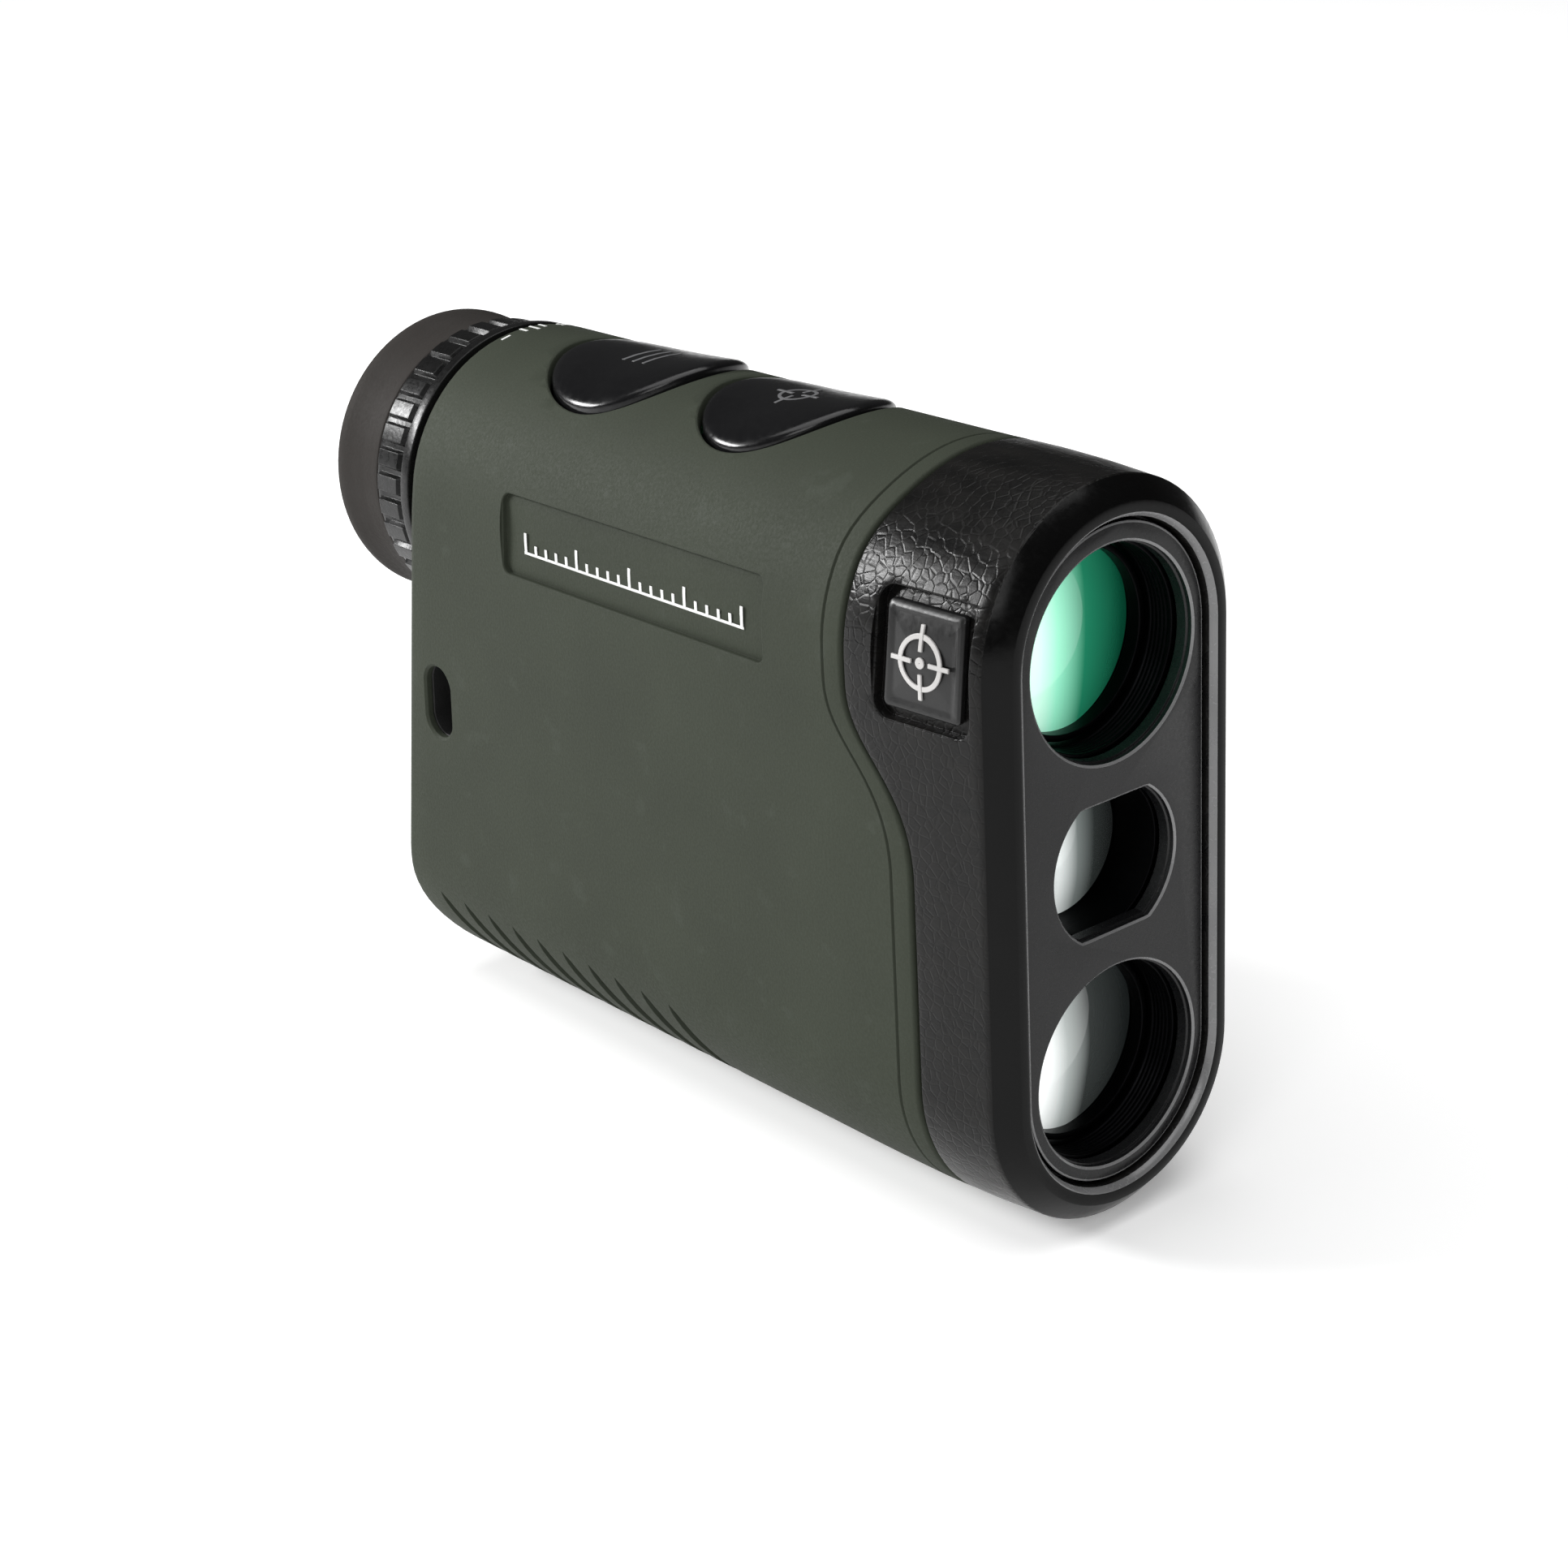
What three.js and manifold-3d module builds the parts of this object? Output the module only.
// A hand-held laser rangefinder: rubber-armoured body, black front bezel with three windows,
// two push buttons on top, and an eyepiece with a diopter ring and a twist-up eyecup.
// Millimetres. X is the width, Y the optical axis from the front rim to the eyecup, Z up.
import * as THREE from 'three';
import { mergeVertices } from 'three/addons/utils/BufferGeometryUtils.js';
import Module from 'manifold-3d';

const wasm = await Module();
wasm.setup();

// ---------------------------------------------------------------- driving dimensions

const LENGTH = 109;          // front rim to eyecup end
const HEIGHT = 77.5;
const HALF_WIDTH = 17.5;     // also the radius of the rounded top and bottom
const TOP_Z = HEIGHT - HALF_WIDTH;
const BOTTOM_Z = HALF_WIDTH;

const GAP = 0.3;             // between parts that rest on each other
const SEAM = 0.5;            // shadow gap between armour and bezel
const WALL = 1.8;            // armour side wall
const REAR_WALL = 2.2;
const CAVITY_RADIUS = HALF_WIDTH - WALL;

const OPTIC_Z = 60.2;        // objective and eyepiece axis
const EMITTER_Z = 38.8;
const RECEIVER_Z = 17.4;

const REAR_TOP_Y = 92.7;     // the rear face is upright above REAR_BEND_Z and leans back below it
const REAR_BEND_Z = 62;
const REAR_LEAN = 0.176;     // backward run per millimetre down
const REAR_CORNER = 12;      // side-view radius of the lower rear corner
const LEAN_ANGLE = Math.atan(REAR_LEAN);

const RIM_RADIUS = 14.3;     // half width of the flat front rim
const CHAMFER_RADIUS = 16.4; // half width where the chamfer meets the bezel side
const CHAMFER_DEPTH = 2;
const RIM_TOP_Z = 60.8;      // centres of the rounded ends at the front rim
const RIM_BOTTOM_Z = 17.3;

const SEAM_TOP_Y = 17.6;     // the bezel's rear edge on the top of the body
const SEAM_WIDE_Y = 19.7;    // beside the badge
const SEAM_NARROW_Y = 11.3;  // along the lower half

const BEZEL_CAVITY = 14.2;
const SPIGOT_RADIUS = 15.3;
const SPIGOT_END = 26;
const PLATE_RADIUS = 12.2;
const PLATE_FRONT = 1.1;
const PLATE_BACK = 3.0;

const APERTURE = 10.55;      // objective and receiver windows
const EMITTER_APERTURE = 8;
const EMITTER_FLAT = 6.65;   // half height between the emitter window's flats
const BARREL_RADIUS = 11;
const BARREL_FRONT = 3.4;
const BARREL_END = 24;
const EMITTER_BARREL = 8.6;

const BADGE = { y: 9.5, z: 61.8, width: 12, height: 12.6, depth: 1.1, thickness: 0.7, border: 1.2 };
const LABEL = { y0: 31.5, y1: 74.8, z0: 56.5, z1: 65.3, depth: 0.4 };
const SLOT = { y: 90.4, z: 37.6, width: 4.8, height: 8.6, wall: 0.65, tilt: 0.08 };
const SOCKET = { y: 34, radius: 5, bore: 3.2, depth: 6.5, height: 8 };

const MENU_BUTTON = { y: 69, halfWidth: 10.2, rear: 12, front: 10.3, rise: 0.9 };
const RANGE_BUTTON = { y: 45, halfWidth: 9.9, rear: 9.8, front: 9.8, rise: 0.6 };
const BUTTON_INNER = 14.7;
const BUTTON_CLEARANCE = 0.35;
const BUTTON_FLANGE = 0.8;

const GRIP = { count: 10, first: 45.5, pitch: 4.8, width: 1.7, depth: 0.6, top: 12.5, slant: 0.5 };

const TUBE_INNER = 11.2;     // eyepiece tube
const TUBE_OUTER = 12.3;
const DIOPTER = { y0: 94.8, y1: 100.8, inner: 14.5, root: 16.2, crest: 16.7, ribs: 36 };

const BATTERY = { z: 23, radius: 7.8, length: 27, end: -3.3 };
const CAP = { radius: 9.6, proud: 0.6, under: -1.6, skirtEnd: -7, skirtOuter: 9, skirtInner: 8.1 };

const ROUND = 20;            // facets round a turned part
const FINE = 10;             // facets round half of the body's rounded end

// ---------------------------------------------------------------- materials

function material(color, roughness, metalness = 0) {
  return new THREE.MeshStandardMaterial({ color, roughness, metalness });
}

const paint = {
  armour: () => material(0x464d45, 0.75),
  black: () => material(0x202022, 0.45),
  satin: () => material(0x38393c, 0.5),
  gloss: () => material(0x111112, 0.2),
  rubber: () => material(0x18181a, 0.85),
  metal: () => material(0x8a8d90, 0.35, 1),
  brass: () => material(0xb08d4a, 0.35, 1),
  anodised: () => material(0x141416, 0.5, 0.6),
  glass: () => material(0x9fd8c0, 0.05),
  coated: () => material(0x2f9a72, 0.05),
  board: () => material(0x1d5c36, 0.5),
  cell: () => material(0x6c7178, 0.4, 0.4),
};

// ---------------------------------------------------------------- solid modelling helpers

// Closed three.js geometry to a manifold solid, wound so that its faces point out.
function solid(geometry) {
  const bare = geometry.clone();
  bare.deleteAttribute('normal');
  bare.deleteAttribute('uv');
  const merged = mergeVertices(bare);
  const points = merged.attributes.position;
  const a = new THREE.Vector3();
  const b = new THREE.Vector3();
  const c = new THREE.Vector3();
  const triangles = [];
  let volume = 0;
  for (let i = 0; i < merged.index.count; i += 3) {
    const [p, q, r] = [0, 1, 2].map((k) => merged.index.getX(i + k));
    if (p === q || q === r || r === p) continue;
    triangles.push([p, q, r]);
    a.fromBufferAttribute(points, p);
    b.fromBufferAttribute(points, q);
    c.fromBufferAttribute(points, r);
    volume += a.dot(b.cross(c));
  }
  const wound = volume < 0 ? triangles.map(([p, q, r]) => [p, r, q]) : triangles;
  return new wasm.Manifold(new wasm.Mesh({
    numProp: 3,
    vertProperties: new Float32Array(points.array),
    triVerts: new Uint32Array(wound.flat()),
  }));
}

function toGeometry(body) {
  const mesh = body.getMesh();
  const geometry = new THREE.BufferGeometry();
  geometry.setAttribute('position', new THREE.BufferAttribute(new Float32Array(mesh.vertProperties), 3));
  geometry.setIndex(new THREE.BufferAttribute(new Uint32Array(mesh.triVerts), 1));
  geometry.computeVertexNormals();
  return geometry;
}

function cut(body, ...tools) {
  return tools.reduce((rest, tool) => rest.subtract(tool), body);
}

function join(first, ...others) {
  return others.reduce((sum, other) => sum.add(other), first);
}

function box(x0, x1, y0, y1, z0, z1) {
  const geometry = new THREE.BoxGeometry(x1 - x0, y1 - y0, z1 - z0);
  return solid(geometry.translate((x0 + x1) / 2, (y0 + y1) / 2, (z0 + z1) / 2));
}

function rodY(radius, y0, y1, x = 0, z = 0, facets = ROUND) {
  const geometry = new THREE.CylinderGeometry(radius, radius, y1 - y0, facets);
  return solid(geometry.translate(x, (y0 + y1) / 2, z));
}

function rodX(radius, x0, x1, y, z, facets = 16) {
  const geometry = new THREE.CylinderGeometry(radius, radius, x1 - x0, facets);
  return solid(geometry.rotateZ(Math.PI / 2).translate((x0 + x1) / 2, y, z));
}

function rodZ(radius, z0, z1, x, y, facets = ROUND) {
  const geometry = new THREE.CylinderGeometry(radius, radius, z1 - z0, facets);
  return solid(geometry.rotateX(Math.PI / 2).translate(x, y, (z0 + z1) / 2));
}

// Turned part about a line along Y: the profile is [radius, y] pairs.
function turned(profile, x = 0, z = 0, facets = ROUND) {
  const points = profile.map(([r, y]) => new THREE.Vector2(r, y));
  points.push(points[0].clone());
  return solid(new THREE.LatheGeometry(points, facets).translate(x, 0, z));
}

function ringY(inner, outer, y0, y1, z = 0, facets = ROUND) {
  return turned([[inner, y0], [outer, y0], [outer, y1], [inner, y1]], 0, z, facets);
}

// Shape drawn in (y, z), extruded across the width.
function acrossX(shape, x0, x1, curveSegments = FINE) {
  const geometry = new THREE.ExtrudeGeometry(shape, { depth: x1 - x0, bevelEnabled: false, curveSegments });
  const turn = new THREE.Matrix4().makeBasis(
    new THREE.Vector3(0, 1, 0), new THREE.Vector3(0, 0, 1), new THREE.Vector3(1, 0, 0));
  return solid(geometry.applyMatrix4(turn).translate(x0, 0, 0));
}

// Shape drawn in (x, z), extruded along the optical axis.
function alongY(shape, y0, y1, curveSegments = FINE) {
  const geometry = new THREE.ExtrudeGeometry(shape, { depth: y1 - y0, bevelEnabled: false, curveSegments });
  return solid(geometry.rotateX(Math.PI / 2).translate(0, y1, 0));
}

function alongZ(shape, z0, z1, curveSegments = FINE) {
  const geometry = new THREE.ExtrudeGeometry(shape, { depth: z1 - z0, bevelEnabled: false, curveSegments });
  return solid(geometry.translate(0, 0, z0));
}

function stadiumShape(radius, bottom, top) {
  const shape = new THREE.Shape();
  shape.absarc(0, top, radius, 0, Math.PI, false);
  shape.absarc(0, bottom, radius, Math.PI, 2 * Math.PI, false);
  return shape;
}

function stadium(radius, y0, y1, bottom = BOTTOM_Z, top = TOP_Z) {
  return alongY(stadiumShape(radius, bottom, top), y0, y1);
}

function roundedRectangle(u0, u1, v0, v1, radius) {
  const shape = new THREE.Shape();
  shape.absarc(u1 - radius, v0 + radius, radius, -Math.PI / 2, 0, false);
  shape.absarc(u1 - radius, v1 - radius, radius, 0, Math.PI / 2, false);
  shape.absarc(u0 + radius, v1 - radius, radius, Math.PI / 2, Math.PI, false);
  shape.absarc(u0 + radius, v0 + radius, radius, Math.PI, 1.5 * Math.PI, false);
  return shape;
}

// Solid through a row of stadium sections, each { y, radius, bottom, top }.
function stadiumLoft(sections) {
  const positions = [];
  const perRing = 2 * (FINE + 1);
  for (const { y, radius, bottom, top } of sections) {
    for (let i = 0; i < perRing; i += 1) {
      const upper = i <= FINE;
      const angle = Math.PI * (upper ? i / FINE : 1 + (i - FINE - 1) / FINE);
      positions.push(radius * Math.cos(angle), y, (upper ? top : bottom) + radius * Math.sin(angle));
    }
  }
  const index = [];
  for (let s = 0; s + 1 < sections.length; s += 1) {
    for (let i = 0; i < perRing; i += 1) {
      const next = (i + 1) % perRing;
      const [a, b] = [s * perRing + i, s * perRing + next];
      index.push(a, b, a + perRing, b, b + perRing, a + perRing);
    }
  }
  const last = (sections.length - 1) * perRing;
  for (let i = 1; i + 1 < perRing; i += 1) {
    index.push(0, i + 1, i);
    index.push(last, last + i, last + i + 1);
  }
  const geometry = new THREE.BufferGeometry();
  geometry.setAttribute('position', new THREE.Float32BufferAttribute(positions, 3));
  geometry.setIndex(index);
  return solid(geometry);
}

// ---------------------------------------------------------------- shared outer form

// Side outline of the body in (y, z), moved inwards by inset at the rear.
function sideOutline(inset) {
  const cornerY = REAR_TOP_Y + REAR_LEAN * (REAR_BEND_Z - REAR_CORNER)
    - REAR_CORNER * Math.hypot(1, REAR_LEAN);
  const shape = new THREE.Shape();
  shape.moveTo(-1, -1);
  shape.lineTo(cornerY, -1);
  shape.absarc(cornerY, REAR_CORNER, REAR_CORNER - inset, -Math.PI / 2, LEAN_ANGLE, false);
  shape.lineTo(REAR_TOP_Y - inset, REAR_BEND_Z);
  shape.lineTo(REAR_TOP_Y - inset, HEIGHT + 1);
  shape.lineTo(-1, HEIGHT + 1);
  return acrossX(shape, -20, 20);
}

// Everything in front of the S-shaped seam between bezel and armour.
function frontRegion(offset) {
  const shape = new THREE.Shape();
  shape.moveTo(-2, -2);
  shape.lineTo(SEAM_NARROW_Y + offset, -2);
  shape.lineTo(SEAM_NARROW_Y + offset, 39);
  shape.bezierCurveTo(
    SEAM_NARROW_Y + offset, 49.5, SEAM_WIDE_Y + offset, 50.5, SEAM_WIDE_Y + offset, 57.5);
  shape.lineTo(SEAM_WIDE_Y + offset, 68.5);
  shape.bezierCurveTo(
    SEAM_WIDE_Y + offset, 73, SEAM_TOP_Y + offset, 74, SEAM_TOP_Y + offset, HEIGHT + 2);
  shape.lineTo(-2, HEIGHT + 2);
  return acrossX(shape, -20, 20);
}

// The whole outside of bezel and armour, moved inwards by inset all along its sides.
function outerForm(inset = 0) {
  const bezelSide = (y, radius) => {
    const run = (y - CHAMFER_DEPTH) / 20;
    return {
      y,
      radius: radius - inset,
      bottom: THREE.MathUtils.lerp(RIM_BOTTOM_Z, BOTTOM_Z, run),
      top: THREE.MathUtils.lerp(RIM_TOP_Z, TOP_Z, run),
    };
  };
  const form = stadiumLoft([
    { y: 0, radius: RIM_RADIUS - inset, bottom: RIM_BOTTOM_Z, top: RIM_TOP_Z },
    bezelSide(CHAMFER_DEPTH, CHAMFER_RADIUS),
    bezelSide(8, 16.95),
    bezelSide(14, 17.3),
    bezelSide(22, HALF_WIDTH),
    { y: 104, radius: HALF_WIDTH - inset, bottom: BOTTOM_Z, top: TOP_Z },
  ]);
  return form.intersect(sideOutline(0));
}

// Turned parts of the battery bay are drawn along Y from the rear face, then tipped with it.
const BAY_Y = REAR_TOP_Y + REAR_LEAN * (REAR_BEND_Z - BATTERY.z);
const bayPlace = new THREE.Matrix4()
  .makeTranslation(0, BAY_Y, BATTERY.z)
  .multiply(new THREE.Matrix4().makeRotationX(LEAN_ANGLE));

function inBay(profile, facets = ROUND) {
  const points = profile.map(([r, y]) => new THREE.Vector2(r, y));
  points.push(points[0].clone());
  return solid(new THREE.LatheGeometry(points, facets).applyMatrix4(bayPlace));
}

function bayRod(radius, y0, y1) {
  return inBay([[0, y0], [radius, y0], [radius, y1], [0, y1]]);
}

// Rounded slot for the lanyard, leaning a little with the rear face.
function slotRod(grow, x0, x1) {
  const half = SLOT.width / 2 + grow;
  const reach = (SLOT.height - SLOT.width) / 2;
  const shape = new THREE.Shape();
  shape.absarc(0, reach, half, 0, Math.PI, false);
  shape.absarc(0, -reach, half, Math.PI, 2 * Math.PI, false);
  const geometry = new THREE.ExtrudeGeometry(shape, { depth: x1 - x0, bevelEnabled: false, curveSegments: 8 });
  const turn = new THREE.Matrix4().makeBasis(
    new THREE.Vector3(0, 1, 0), new THREE.Vector3(0, 0, 1), new THREE.Vector3(1, 0, 0));
  geometry.applyMatrix4(turn).rotateX(SLOT.tilt).translate(x0, SLOT.y, SLOT.z);
  return solid(geometry);
}

function buttonOutline(button, grow) {
  const shape = new THREE.Shape();
  const width = button.halfWidth + grow;
  shape.absellipse(0, button.y, width, button.rear + grow, 0, Math.PI, false);
  shape.absellipse(0, button.y, width, button.front + grow, Math.PI, 2 * Math.PI, false);
  return shape;
}

// ---------------------------------------------------------------- housing

function armourBody() {
  const room = stadium(CAVITY_RADIUS, -1, 104)
    .intersect(sideOutline(REAR_WALL))
    .subtract(rodY(HALF_WIDTH + 2, REAR_TOP_Y - REAR_WALL, 110, 0, OPTIC_Z));
  const label = roundedRectangle(LABEL.y0, LABEL.y1, LABEL.z0, LABEL.z1, 1);
  let body = cut(
    outerForm(),
    frontRegion(SEAM / 2),
    room,
    rodY(HALF_WIDTH + 0.2, REAR_TOP_Y, 112, 0, OPTIC_Z),
    rodY(13.5, 85, 95, 0, OPTIC_Z),
    alongZ(buttonOutline(MENU_BUTTON, BUTTON_CLEARANCE), 68, 80),
    alongZ(buttonOutline(RANGE_BUTTON, BUTTON_CLEARANCE), 68, 80),
    slotRod(SLOT.wall + GAP, -20, 20),
    acrossX(label, -20, 20, 4).subtract(outerForm(LABEL.depth)),
    bayRod(CAP.radius + GAP, -5, 5),
    rodZ(SOCKET.radius + GAP, -1, 4, 0, SOCKET.y),
  );
  const core = stadium(HALF_WIDTH - GRIP.depth, 30, 110);
  for (let i = 0; i < GRIP.count; i += 1) {
    const y = GRIP.first + i * GRIP.pitch;
    const bar = new THREE.Shape();
    bar.moveTo(y - GRIP.width / 2, -1);
    bar.lineTo(y + GRIP.width / 2, -1);
    bar.lineTo(y + GRIP.width / 2 + GRIP.slant * GRIP.top, GRIP.top);
    bar.lineTo(y - GRIP.width / 2 + GRIP.slant * GRIP.top, GRIP.top);
    body = body.subtract(acrossX(bar, -20, 20).subtract(core));
  }
  return body;
}

// Square column through the badge's place, the same on both sides of the bezel.
function badgeColumn(grow, x0, x1) {
  const width = BADGE.width / 2 + grow;
  const height = BADGE.height / 2 + grow;
  const shape = roundedRectangle(
    BADGE.y - width, BADGE.y + width, BADGE.z - height, BADGE.z + height, 1.6 + grow);
  return acrossX(shape, x0, x1, 4);
}

function frontBezel() {
  const shell = outerForm().intersect(frontRegion(-SEAM / 2));
  const spigot = stadium(SPIGOT_RADIUS, 8, SPIGOT_END);
  const sealGroove = stadium(SPIGOT_RADIUS + 1, 22, 24).subtract(stadium(14.8, 21, 25));
  const mouth = stadiumLoft([
    { y: -0.1, radius: PLATE_RADIUS + GAP + 0.5, bottom: RIM_BOTTOM_Z, top: RIM_TOP_Z },
    { y: PLATE_FRONT, radius: PLATE_RADIUS + GAP, bottom: RIM_BOTTOM_Z, top: RIM_TOP_Z },
    { y: PLATE_BACK + GAP, radius: PLATE_RADIUS + GAP, bottom: RIM_BOTTOM_Z, top: RIM_TOP_Z },
  ]);
  return cut(
    join(shell, spigot),
    mouth,
    stadium(BARREL_RADIUS + 0.4, 3, 6, RECEIVER_Z, OPTIC_Z),
    stadium(BEZEL_CAVITY, 4.8, SPIGOT_END + 1),
    sealGroove,
    badgeColumn(0, -20, 20).subtract(outerForm(BADGE.depth)),
  );
}

function emitterWindow(radius, flat, y0, y1) {
  return rodY(radius, y0, y1, 0, EMITTER_Z)
    .intersect(box(-20, 20, y0, y1, EMITTER_Z - flat, EMITTER_Z + flat));
}

function facePlate() {
  return cut(
    stadium(PLATE_RADIUS, PLATE_FRONT, PLATE_BACK, RIM_BOTTOM_Z, RIM_TOP_Z),
    rodY(APERTURE, 0, 5, 0, OPTIC_Z),
    rodY(APERTURE, 0, 5, 0, RECEIVER_Z),
    emitterWindow(EMITTER_APERTURE, EMITTER_FLAT, 0, 5),
  );
}

const FRAME_SCREWS = [[-9.4, 48.9], [9.4, 48.9], [-9.4, 29.3], [9.4, 29.3]];
const FRAME_Y = 11;
const FRAME_BACK = 14;

function frontFrame() {
  return cut(
    stadium(BEZEL_CAVITY - GAP, FRAME_Y, FRAME_BACK),
    rodY(BARREL_RADIUS + GAP, 10, 15, 0, OPTIC_Z),
    rodY(BARREL_RADIUS + GAP, 10, 15, 0, RECEIVER_Z),
    rodY(EMITTER_BARREL + GAP, 10, 15, 0, EMITTER_Z),
    ...FRAME_SCREWS.map(([x, z]) => rodY(1.3, 10, 15, x, z, 12)),
  );
}

function frameScrew(x, z) {
  const head = FRAME_Y - GAP;
  return cut(
    turned([[0, head - 1.9], [1.6, head - 1.9], [1.9, head - 1.5], [1.9, head], [1, head], [1, 20], [0, 20.8]],
      x, z, 12),
    box(x - 1.2, x + 1.2, head - 2.5, head - 1.2, z - 0.25, z + 0.25),
  );
}

const BOARD_SCREWS = [[31, 44], [76, 44], [52, 30.5]];

function chassisPlate(side) {
  const inner = 12.4;
  const outer = 13.8;
  const outline = roundedRectangle(FRAME_BACK + 0.4, 85.5, 24, 56, 3);
  const windows = [roundedRectangle(36, 48, 30, 50, 3), roundedRectangle(57, 71, 30, 50, 3)];
  let plate = acrossX(outline, inner, outer, 2);
  for (const [, z] of FRAME_SCREWS.filter(([x]) => x > 0)) {
    plate = plate.add(box(7.4, inner + 0.5, FRAME_BACK + 0.4, 22, z - 2.3, z + 2.3));
    plate = plate.subtract(rodY(1.25, 10, 21.3, 9.4, z, 12));
  }
  plate = cut(
    plate,
    ...windows.map((window) => acrossX(window, 12, 15, 2)),
    ...BOARD_SCREWS.map(([y, z]) => rodX(1.2, 12, 15, y, z, 12)),
  );
  return side > 0 ? plate : plate.mirror([1, 0, 0]);
}

// ---------------------------------------------------------------- front optics

function collectorBarrel(z) {
  return turned([
    [10.2, BARREL_FRONT], [BARREL_RADIUS, BARREL_FRONT], [BARREL_RADIUS, BARREL_END],
    [9.2, BARREL_END], [9.2, 13.6], [10.2, 13.6],
  ], 0, z);
}

function receiverBarrel() {
  return turned([
    [10.2, BARREL_FRONT], [BARREL_RADIUS, BARREL_FRONT], [BARREL_RADIUS, BARREL_END],
    [4.6, 35], [3.4, 35], [3.4, 34], [9.2, BARREL_END], [9.2, 13.6], [10.2, 13.6],
  ], 0, RECEIVER_Z);
}

function emitterBarrel() {
  return turned([
    [7.8, BARREL_FRONT], [EMITTER_BARREL, BARREL_FRONT], [EMITTER_BARREL, 26], [3.2, 26],
    [3.2, 24.4], [6.8, 24.4], [6.8, 12.4], [7.8, 12.4],
  ], 0, EMITTER_Z);
}

// Points of a shallow dome from the rim in to the axis, bulging by sag towards apexY.
function dome(radius, rimY, apexY, steps = 3) {
  const points = [];
  for (let i = 0; i <= steps; i += 1) {
    const r = radius * (1 - i / steps);
    points.push([r, apexY + (rimY - apexY) * (r / radius) ** 2]);
  }
  return points;
}

function convexLens(radius, apexY, rimY, backY, z) {
  return turned([[0, backY], [radius, backY], ...dome(radius, rimY, apexY)], 0, z);
}

function concaveLens(radius, frontY, rimY, apexY, z) {
  return turned([[0, frontY], [radius, frontY], ...dome(radius, rimY, apexY)], 0, z);
}

function laserDiode() {
  return turned([
    [0, 20.5], [2.3, 20.5], [2.3, 23.4], [2.9, 23.4], [2.9, 25.8], [1.2, 25.8], [1.2, 27.6], [0, 27.6],
  ], 0, EMITTER_Z, 16);
}

function photodiode() {
  return turned([
    [0, 33.2], [2.6, 33.2], [2.6, 35.8], [3.2, 35.8], [3.2, 36.6], [1, 36.6], [1, 37.6], [0, 37.6],
  ], 0, RECEIVER_Z, 16);
}

// ---------------------------------------------------------------- viewing optics

const PRISM = { y0: 44.4, y1: 78, half: 9.2, bottom: 50.2, top: 70.2, wall: 1.4 };

function prismHousing() {
  const { y0, y1, half, bottom, top, wall } = PRISM;
  return cut(
    box(-half, half, y0, y1, bottom, top),
    box(wall - half, half - wall, y0 + wall, y1 - wall, bottom + wall, top - wall),
    rodY(7.4, y0 - 1, y0 + 3, 0, OPTIC_Z),
    rodY(6.8, y1 - 3, y1 + 1, 0, OPTIC_Z),
  );
}

function prism(corners) {
  const half = PRISM.half - PRISM.wall - 0.4;
  return acrossX(new THREE.Shape(corners.map(([y, z]) => new THREE.Vector2(y, z))), -half, half);
}

function eyepieceTube() {
  return turned([
    [TUBE_INNER, 82], [TUBE_OUTER, 82], [TUBE_OUTER, REAR_TOP_Y + GAP], [17.2, REAR_TOP_Y + GAP],
    [17.2, 94.5], [TUBE_OUTER, 94.5], [TUBE_OUTER, 104], [TUBE_INNER, 104],
  ], 0, OPTIC_Z);
}

function eyeLensCell() {
  return turned([
    [9.6, 85], [10.9, 85], [10.9, 100], [9.6, 100], [9.6, 94.6], [8.6, 94.6], [8.6, 89.6], [9.6, 89.6],
  ], 0, OPTIC_Z);
}

function diopterRing() {
  const shape = new THREE.Shape();
  const step = (2 * Math.PI) / DIOPTER.ribs;
  for (let i = 0; i < DIOPTER.ribs; i += 1) {
    for (const [part, radius] of [[0, DIOPTER.root], [0.3, DIOPTER.crest], [0.7, DIOPTER.crest], [0.95, DIOPTER.root]]) {
      const angle = (i + part) * step;
      const x = radius * Math.cos(angle);
      const z = radius * Math.sin(angle);
      if (i === 0 && part === 0) shape.moveTo(x, z);
      else shape.lineTo(x, z);
    }
  }
  const { y0, y1, inner } = DIOPTER;
  const ribbed = alongY(shape, y0, y1).translate([0, 0, OPTIC_Z]);
  return ribbed.subtract(rodY(inner, y0 - 1, y1 + 1, 0, OPTIC_Z));
}

function eyecupSleeve() {
  return turned([
    [13.5, 95.2], [14.2, 95.2], [14.2, 106.5], [12.7, 106.5], [12.7, 105.2], [13.5, 105.2],
  ], 0, OPTIC_Z);
}

function eyecupRubber() {
  return turned([
    [14.5, 101.1], [15.9, 101.1], [16.0, 104], [16.6, 107.4], [16.4, 108.6], [15.8, LENGTH],
    [14.6, LENGTH], [13.2, 107.5], [13.2, 106.8], [14.5, 106.8],
  ], 0, OPTIC_Z);
}

// ---------------------------------------------------------------- buttons and boards

function button(spec) {
  const top = new THREE.CylinderGeometry(HALF_WIDTH, HALF_WIDTH, 80, 2 * ROUND);
  const tilt = spec.rise / (spec.rear + spec.front);
  const rearEnd = spec.y + spec.rear;
  top.rotateX(-tilt).translate(0, rearEnd, TOP_Z);
  const inner = rodY(BUTTON_INNER, 20, 100, 0, TOP_Z, 2 * ROUND);
  const cap = alongZ(buttonOutline(spec, 0), 66, 82).intersect(solid(top));
  const flange = alongZ(buttonOutline(spec, BUTTON_FLANGE), 66, 82)
    .intersect(rodY(CAVITY_RADIUS - GAP, 20, 100, 0, TOP_Z, 2 * ROUND));
  const stem = rodZ(3, 74.1, 76, 0, spec.y, 16);
  return join(cap, flange).subtract(inner).add(stem);
}

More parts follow.
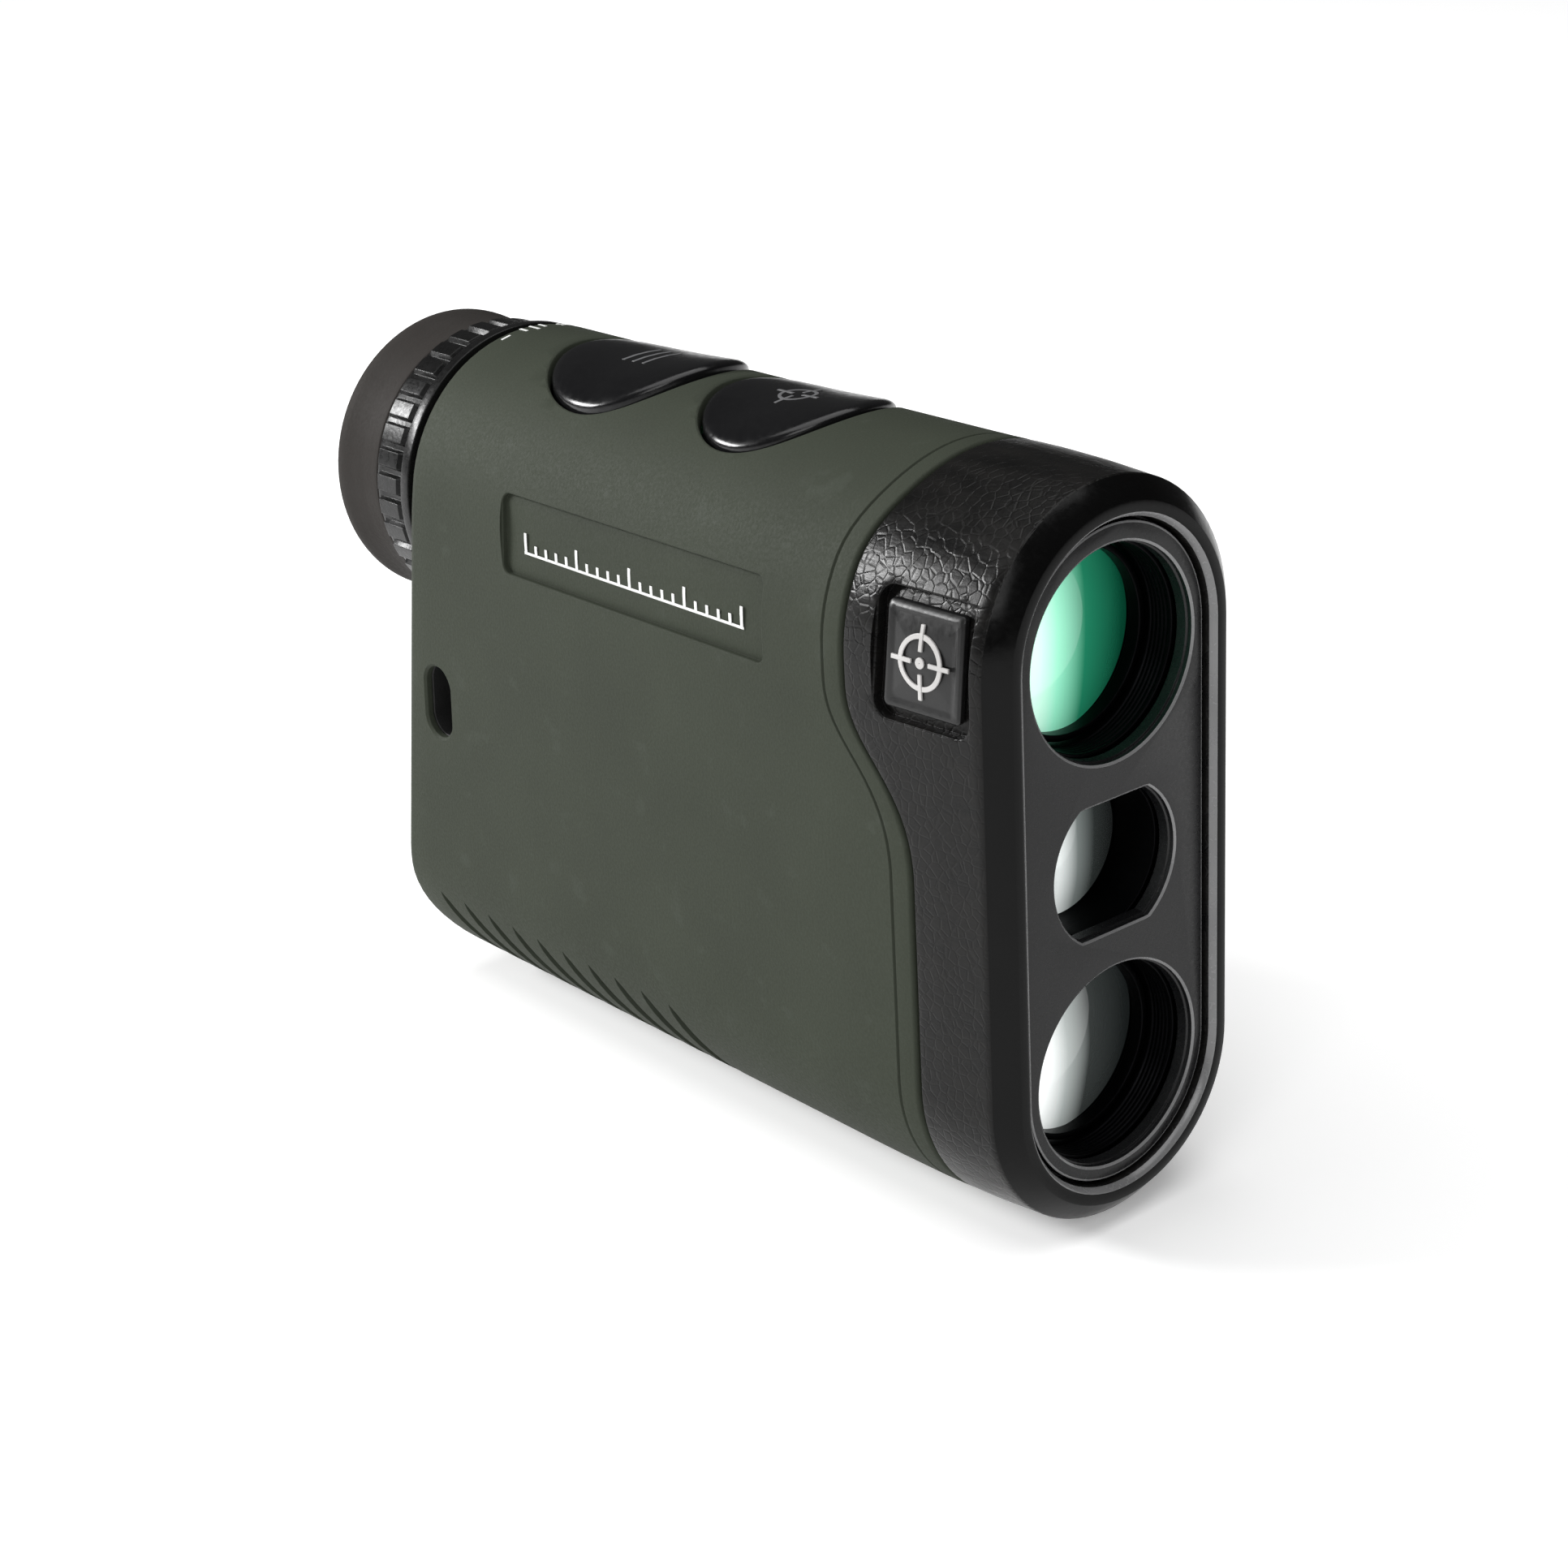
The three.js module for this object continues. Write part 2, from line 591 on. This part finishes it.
function domeSwitch(y) {
  const points = [[0, 72.4], [4, 72.4], [4, 72.6], [2.6, 73], [0, 73.2]]
    .map(([r, z]) => new THREE.Vector2(r, z));
  points.push(points[0].clone());
  const geometry = new THREE.LatheGeometry(points, 16).rotateX(Math.PI / 2);
  return solid(geometry.translate(0, y, 0));
}

function mainBoard() {
  const board = box(10.8, 11.8, 27, 80, 27, 48);
  const chips = [
    box(9.2, 11, 44, 56, 34, 46), box(9.6, 11, 62, 70, 36, 44), box(9.4, 11, 34, 40, 38, 42),
    box(10, 11, 60, 66, 29, 33), box(9.8, 11, 40, 45, 29, 32),
  ];
  return join(board, ...chips).subtract(
    join(...BOARD_SCREWS.map(([y, z]) => rodX(1.2, 9, 13, y, z, 12))));
}

function boardScrew(y, z) {
  return join(rodX(1.8, 9.2, 10.5, y, z, 12), rodX(0.9, 10, 13.4, y, z, 12))
    .subtract(box(9, 9.7, y - 1.2, y + 1.2, z - 0.25, z + 0.25));
}

// ---------------------------------------------------------------- battery bay

function batteryTube() {
  return inBay([
    [1.5, -36], [10.2, -36], [10.2, -2.5], [9.3, -2.5], [9.3, -8], [8.15, -8], [8.15, -34.5], [1.5, -34.5],
  ]);
}

function battery() {
  const { radius, end, length } = BATTERY;
  const nub = end - length + 0.8;
  return inBay([[0, end], [radius, end], [radius, nub], [3.2, nub], [3.2, nub - 0.8], [0, nub - 0.8]]);
}

function batteryCap() {
  const head = inBay([
    [0, CAP.under], [CAP.skirtInner, CAP.under], [CAP.skirtInner, CAP.skirtEnd],
    [CAP.skirtOuter, CAP.skirtEnd], [CAP.skirtOuter, CAP.under], [CAP.radius, CAP.under],
    [CAP.radius, CAP.proud - 0.5], [CAP.radius - 0.5, CAP.proud], [0, CAP.proud],
  ]);
  const coinSlot = new THREE.BoxGeometry(13, 2.4, 1.8);
  coinSlot.translate(0, CAP.proud, 0).applyMatrix4(bayPlace);
  return head.subtract(solid(coinSlot));
}

class SpringCurve extends THREE.Curve {
  getPoint(t, target = new THREE.Vector3()) {
    const angle = 3 * 2 * Math.PI * t;
    return target.set(4.6 * Math.cos(angle), -34 + 2.9 * t, 4.6 * Math.sin(angle));
  }
}

function batterySpring() {
  const wire = new THREE.Shape();
  wire.absarc(0, 0, 0.3, 0, 2 * Math.PI, false);
  const geometry = new THREE.ExtrudeGeometry(wire, {
    steps: 27, curveSegments: 4, bevelEnabled: false, extrudePath: new SpringCurve(),
  });
  return solid(geometry.applyMatrix4(bayPlace));
}

// ---------------------------------------------------------------- fittings

function lanyardSleeve() {
  const reach = HALF_WIDTH - GAP;
  return slotRod(SLOT.wall, -reach, reach).subtract(slotRod(0, -20, 20));
}

function tripodSocket() {
  return cut(
    rodZ(SOCKET.radius, 0, SOCKET.height, 0, SOCKET.y),
    rodZ(SOCKET.bore, -1, SOCKET.depth, 0, SOCKET.y, 20),
  );
}

function badge(side) {
  const column = side < 0 ? badgeColumn(-BADGE.border, -20, 0) : badgeColumn(-BADGE.border, 0, 20);
  const skin = BADGE.depth - GAP - BADGE.thickness;
  return column.intersect(outerForm(skin)).subtract(outerForm(skin + BADGE.thickness));
}

function bezelSeal() {
  return stadium(15.4, 22.4, 23.6).subtract(stadium(15.05, 20, 25));
}

// ---------------------------------------------------------------- assembly

const rangefinder = new THREE.Group();
rangefinder.position.set(0, -LENGTH / 2, 0);

function piece(name, body, look) {
  const mesh = new THREE.Mesh(toGeometry(body), look());
  mesh.name = name;
  rangefinder.add(mesh);
}

piece('armour_body', armourBody(), paint.armour);
piece('front_bezel', frontBezel(), paint.black);
piece('bezel_seal', bezelSeal(), paint.rubber);
piece('face_plate', facePlate(), paint.satin);
piece('left_badge', badge(-1), paint.satin);
piece('right_badge', badge(1), paint.satin);
piece('front_frame', frontFrame(), paint.anodised);
FRAME_SCREWS.forEach(([x, z], i) => piece(`frame_screw_${i + 1}`, frameScrew(x, z), paint.metal));
piece('left_chassis_plate', chassisPlate(-1), paint.anodised);
piece('right_chassis_plate', chassisPlate(1), paint.anodised);

piece('objective_barrel', collectorBarrel(OPTIC_Z), paint.anodised);
piece('objective_retaining_ring', ringY(9.2, 9.9, 6.6, 8.2, OPTIC_Z), paint.anodised);
piece('objective_front_lens', convexLens(9.9, 7.4, 9, 11, OPTIC_Z), paint.coated);
piece('objective_rear_lens', concaveLens(9.9, 11.4, 13.2, 12.2, OPTIC_Z), paint.glass);
piece('baffle_tube', ringY(9, 10, BARREL_END + 0.4, PRISM.y0 - 0.4, OPTIC_Z), paint.anodised);
piece('emitter_barrel', emitterBarrel(), paint.anodised);
piece('emitter_lens', convexLens(7.5, 7.4, 8.8, 12, EMITTER_Z), paint.glass);
piece('laser_diode', laserDiode(), paint.brass);
piece('laser_board', box(-7, 7, 28, 29, 32, 45.6), paint.board);
piece('receiver_barrel', receiverBarrel(), paint.anodised);
piece('receiver_retaining_ring', ringY(9.2, 9.9, 6.6, 8.2, RECEIVER_Z), paint.anodised);
piece('receiver_lens', convexLens(9.9, 7.4, 9, 13.2, RECEIVER_Z), paint.glass);
piece('photodiode', photodiode(), paint.metal);
piece('receiver_board', box(-7, 7, 38, 39, 10.5, 24.5), paint.board);

piece('prism_housing', prismHousing(), paint.anodised);
piece('front_prism', prism([[46.6, 52.2], [54.6, 52.2], [61.1, 68.2], [46.6, 68.2]]), paint.glass);
piece('rear_prism', prism([[55.2, 52.2], [75.8, 52.2], [75.8, 68.2], [61.7, 68.2]]), paint.glass);
piece('display_glass', box(-7, 7, 78.6, 79.8, OPTIC_Z - 7, OPTIC_Z + 7), paint.glass);

piece('eyepiece_tube', eyepieceTube(), paint.black);
piece('diopter_ring', diopterRing(), paint.black);
piece('eye_lens_cell', eyeLensCell(), paint.anodised);
piece('field_lens', convexLens(9.3, 85.6, 87, 89.3, OPTIC_Z), paint.glass);
piece('eye_lens', concaveLens(9.3, 94.9, 97.4, 98.8, OPTIC_Z), paint.glass);
piece('eye_lens_ring', ringY(8.4, 9.3, 99, 99.8, OPTIC_Z), paint.anodised);
piece('eyecup_cam_ring', ringY(12.6, 13.2, 95, 101.5, OPTIC_Z), paint.anodised);
piece('eyecup_sleeve', eyecupSleeve(), paint.black);
piece('eyecup_rubber', eyecupRubber(), paint.rubber);

piece('menu_button', button(MENU_BUTTON), paint.gloss);
piece('range_button', button(RANGE_BUTTON), paint.gloss);
piece('button_board', box(-6, 6, 38, 77, 71.2, 72.1), paint.board);
piece('menu_dome_switch', domeSwitch(MENU_BUTTON.y), paint.metal);
piece('range_dome_switch', domeSwitch(RANGE_BUTTON.y), paint.metal);
piece('main_board', mainBoard(), paint.board);
BOARD_SCREWS.forEach(([y, z], i) => piece(`board_screw_${i + 1}`, boardScrew(y, z), paint.metal));

piece('battery_tube', batteryTube(), paint.black);
piece('battery', battery(), paint.cell);
piece('battery_spring', batterySpring(), paint.metal);
piece('battery_contact_plate', bayRod(7.5, -3, -2), paint.brass);
piece('battery_cap', batteryCap(), paint.black);
piece('battery_cap_seal', inBay([[9.15, -2.3], [9.55, -2.3], [9.55, -1.75], [9.15, -1.75]]), paint.rubber);

piece('lanyard_sleeve', lanyardSleeve(), paint.rubber);
piece('tripod_socket', tripodSocket(), paint.metal);

export default rangefinder;
